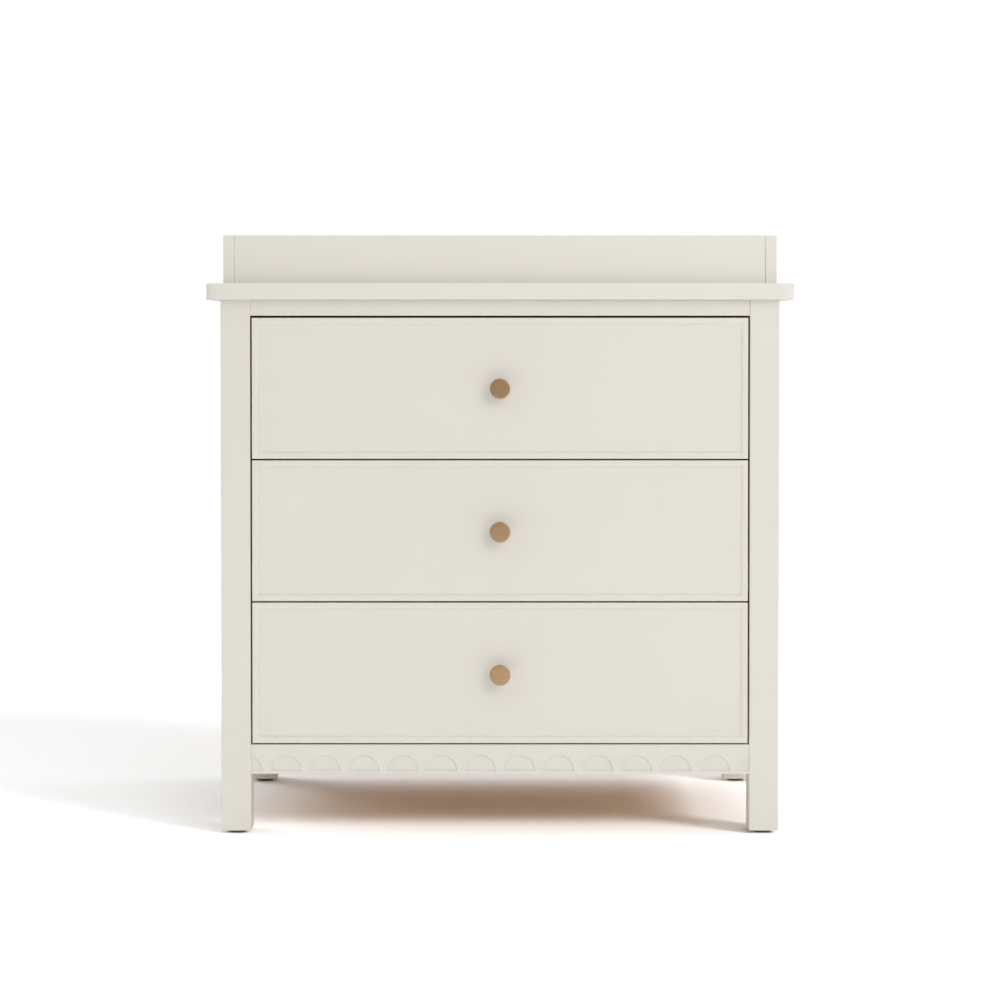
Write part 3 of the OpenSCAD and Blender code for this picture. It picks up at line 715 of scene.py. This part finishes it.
class BuildKnobs(bpy.types.Operator):
    """Turns the three knobs with their waisted necks and soft rims"""

    bl_idname = "changing_table.knobs"
    bl_label = "Knobs"

    def execute(self, context):
        detail = context.scene.table_detail
        for drawer in DRAWERS:
            node = f"drawer_{drawer}_knob"
            low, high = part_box(node)
            outline = self.knob_outline(detail, high.y - low.y, (high.x - low.x) / 2)
            centre = ((low.x + high.x) / 2, high.y, (low.z + high.z) / 2)
            mesh = turned(outline, KNOB_STEPS, centre, Matrix.Rotation(math.pi / 2, 4, "X"))
            to_piece(mesh, f"{node}_turned", BODY_OF[node], finish_named("bronze"), node)
        return {"FINISHED"}

    def knob_outline(self, detail, reach, disc):
        """Half of a knob's section: the foot, neck and disc from outside, then back along the bore"""
        rim, back_rim, neck, foot = detail.knob_rim, detail.knob_back_rim, detail.knob_neck, detail.knob_foot
        bore, bore_depth = detail.knob_bore, detail.knob_bore_depth
        disc_back = reach - detail.knob_disc
        return (
            [(bore, 0), (foot - FOOT_CHAMFER, 0), (foot, FOOT_CHAMFER)]
            + arc(foot - FOOT_ROUND, FOOT_HEIGHT - FOOT_ROUND, FOOT_ROUND, 0, 90, 4)
            + arc(neck + LOWER_HOLLOW, FOOT_HEIGHT + LOWER_HOLLOW, LOWER_HOLLOW, 270, 180, 6)
            + arc(neck + UPPER_HOLLOW, disc_back - UPPER_HOLLOW_DROP, UPPER_HOLLOW, 180, 110, 8)
            + [(disc - DISC_BACK_FLAT, disc_back - DISC_BACK_DISH)]
            + arc(disc - back_rim, disc_back + back_rim, back_rim, -90, 0, 4)
            + arc(disc - rim, reach - rim, rim, 0, 90, 8)
            + [(disc * ring, reach) for ring in FACE_RINGS]
            + [(0, bore_depth), (bore, bore_depth), (bore, 0)]
        )


class BuildSlides(bpy.types.Operator):
    """Finishes the drawer slides: steel members, cages and balls"""

    bl_idname = "changing_table.slides"
    bl_label = "Slides"

    def execute(self, context):
        coat("slide_outer_members", finish_named("steel"))
        for drawer in DRAWERS:
            for member in ("slide_inner_members", "slide_middle_members"):
                coat(f"drawer_{drawer}_{member}", finish_named("steel"))
            for cage in ("outer_ball_cages", "inner_ball_cages"):
                coat(f"drawer_{drawer}_{cage}", finish_named("bright_steel"))
        return {"FINISHED"}


class BuildFixings(bpy.types.Operator):
    """Finishes the screws, cam locks, dowels, plates and strap loops"""

    bl_idname = "changing_table.fixings"
    bl_label = "Fixings"

    def execute(self, context):
        detail = context.scene.table_detail
        for node in ("wood_screws", "top_screws", "cam_fittings"):
            coat(node, finish_named("steel"))
        for node in ("tray_plates", "strap_loops"):
            eased_board(node, detail.sheet_ease, finish_named("steel"), least_length=SHEET_EDGE)
        for drawer in DRAWERS:
            coat(f"drawer_{drawer}_fasteners", finish_named("steel"))
        coat("dowels", finish_named("drawer_wood", "x"))
        coat("foot_glides", finish_named("plastic"))
        return {"FINISHED"}


FLOOR_HALF_WIDTH = 5
FLOOR_WHITES = (0.89, 0.91)
FLOOR_CLOUD = 1.5
VIEW_LIMIT = 100

# Brightness of the white behind everything
BACKDROP = 1.05

# How much a direction's rise counts beside its way back, from the front to behind
RISE = 0.5

# Directions between which the room's light fades in front, overhead and behind
FRONT_FADE = (-0.85, -0.35)
TOP_FADE = (0.1, 0.75)
BACK_FADE = (-0.1, 0.6)


class BuildStage(bpy.types.Operator):
    """Sets up the pale floor, the soft studio light and the camera"""

    bl_idname = "changing_table.stage"
    bl_label = "Stage"

    def execute(self, context):
        settings = context.scene.table_stage
        self.build_camera(context, settings)
        floor = self.build_floor(settings)
        self.build_room(context, settings)
        self.build_key(settings)
        tray_light = self.build_light(
            "tray_light", settings.tray_from, settings.tray_strength, 3 * settings.spread
        )
        self.shine_only_on("lit_by_tray_light", tray_light)
        self.build_light("side_light", settings.side_from, settings.side_strength, settings.spread)
        floor_light = self.build_light(
            "floor_light", settings.floor_from, settings.floor_strength, settings.spread
        )
        floor_fill = self.build_light(
            "floor_fill", settings.fill_from, settings.fill_strength, 2 * settings.spread
        )
        self.shine_only_on("lit_by_floor_lights", floor_light, floor_fill).objects.link(floor)
        return {"FINISHED"}

    def shine_only_on(self, name, *lights):
        """A named collection that holds everything those lights fall on"""
        lit = bpy.data.collections.new(name)
        for light in lights:
            light.light_linking.receiver_collection = lit
        return lit

    def build_camera(self, context, settings):
        camera = bpy.data.objects.new("camera", bpy.data.cameras.new("camera"))
        context.scene.collection.objects.link(camera)
        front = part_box("front_left_leg")[0].y
        camera.location = (0, front - settings.camera_distance, settings.eye_height)
        camera.rotation_euler = (math.pi / 2 - settings.tilt, 0, 0)
        camera.data.lens = settings.lens
        camera.data.shift_y = settings.shift
        camera.data.clip_end = VIEW_LIMIT
        context.scene.camera = camera

    def build_floor(self, settings):
        """A broad matt floor, white to the camera, that gives back a little less light than it shows"""
        material, tree, shader = new_material("pale_floor", Roughness=0.9, Specular_IOR_Level=0.1)
        soft = noise(tree, coordinates(tree), FLOOR_CLOUD, 2)
        white = ramp(tree, soft, *enumerate(map(grey, FLOOR_WHITES)))
        seen = shader_node(tree, "ShaderNodeLightPath").outputs["Is Camera Ray"]
        colour = mix(tree, seen, (*grey(settings.floor_bounce), 1), white, "MIX")
        tree.links.new(colour, shader.inputs["Base Color"])
        mesh = bmesh.new()
        bmesh.ops.create_grid(mesh, x_segments=1, y_segments=1, size=FLOOR_HALF_WIDTH)
        data = bpy.data.meshes.new("floor")
        mesh.to_mesh(data)
        mesh.free()
        data.materials.append(material)
        floor = bpy.data.objects.new("floor", data)
        bpy.context.scene.collection.objects.link(floor)
        return floor

    def build_room(self, context, settings):
        """A white room, dimmer in front and a little dimmer behind, with a plain white backdrop"""
        world = bpy.data.worlds.new("studio")
        context.scene.world = world
        world.use_nodes = True
        tree = world.node_tree
        outwards = shader_node(tree, "ShaderNodeTexCoord").outputs["Generated"]
        parts = shader_node(tree, "ShaderNodeSeparateXYZ", {"Vector": outwards})
        upwards = calculate(tree, "MULTIPLY", parts.outputs["Z"], RISE)
        away = calculate(tree, "ADD", parts.outputs["Y"], upwards)
        from_front = spread(tree, away, 0, 1, *FRONT_FADE)
        overhead = spread(tree, parts.outputs["Z"], 0, 1, *TOP_FADE)
        sides = ramp(tree, from_front, (0.0, grey(settings.room_front)), (1.0, grey(1.0)))
        levels = ramp(tree, overhead, (0.0, grey(1.0)), (1.0, grey(settings.room_top)))
        light = mix(tree, 1.0, sides, levels)
        dimmed = settings.room * settings.room_back
        strength = spread(tree, parts.outputs["Y"], settings.room, dimmed, *BACK_FADE)
        room = tree.nodes["Background"]
        tree.links.new(light, room.inputs["Color"])
        tree.links.new(strength, room.inputs["Strength"])
        plain_white = {"Color": (1, 1, 1, 1), "Strength": BACKDROP}
        backdrop = shader_node(tree, "ShaderNodeBackground", plain_white)
        seen = shader_node(tree, "ShaderNodeLightPath").outputs["Is Camera Ray"]
        either = {0: seen, 1: room.outputs[0], 2: backdrop.outputs[0]}
        mixed = shader_node(tree, "ShaderNodeMixShader", either)
        tree.links.new(mixed.outputs[0], tree.nodes["World Output"].inputs["Surface"])
        context.scene.view_settings.view_transform = "Standard"

    def build_key(self, settings):
        """A large square lamp at the front right, a little stronger on the table's right side"""
        lamp = bpy.data.lights.new("key_light", "AREA")
        lamp.energy = settings.key_power
        lamp.size = settings.key_size
        light = bpy.data.objects.new("key_light", lamp)
        bpy.context.scene.collection.objects.link(light)
        light.location = settings.key_place
        middle = Vector((0, 0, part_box("top_panel")[1].z / 2))
        light.rotation_euler = (middle - light.location).to_track_quat("-Z", "Y").to_euler()

    def build_light(self, name, towards_light, strength, width):
        """A far, soft light that shines from the given direction and spans that angle"""
        lamp = bpy.data.lights.new(name, "SUN")
        lamp.energy = strength
        lamp.angle = width
        light = bpy.data.objects.new(name, lamp)
        bpy.context.scene.collection.objects.link(light)
        light.rotation_euler = Vector(towards_light).to_track_quat("Z", "Y").to_euler()
        return light


class TablePanel(bpy.types.Panel):
    """Lists the steps that build the changing table"""

    bl_idname = "VIEW3D_PT_changing_table"
    bl_label = "Changing Table"
    bl_space_type = "VIEW_3D"
    bl_region_type = "UI"
    bl_category = "Changing Table"

    def draw(self, context):
        for step in STEPS:
            self.layout.operator(step.bl_idname)
        for settings in (context.scene.table_finish, context.scene.table_detail, context.scene.table_stage):
            box = self.layout.box()
            for name in settings.__annotations__:
                box.prop(settings, name)


STEPS = (
    BuildStage,
    BuildTop,
    BuildCase,
    BuildTray,
    BuildDrawerFronts,
    BuildDrawerBoxes,
    BuildKnobs,
    BuildSlides,
    BuildFixings,
)
SETTINGS = {"table_finish": FinishSettings, "table_detail": DetailSettings, "table_stage": StageSettings}


def register():
    for each in (*SETTINGS.values(), *STEPS, TablePanel):
        bpy.utils.register_class(each)
    for name, group in SETTINGS.items():
        setattr(bpy.types.Scene, name, bpy.props.PointerProperty(type=group))


def unregister():
    for name in SETTINGS:
        delattr(bpy.types.Scene, name)
    for each in reversed((*SETTINGS.values(), *STEPS, TablePanel)):
        bpy.utils.unregister_class(each)


def main():
    """Builds every piece in order"""
    register()
    for step in STEPS:
        group, name = step.bl_idname.split(".")
        getattr(getattr(bpy.ops, group), name)()


if __name__ == "__main__":
    main()
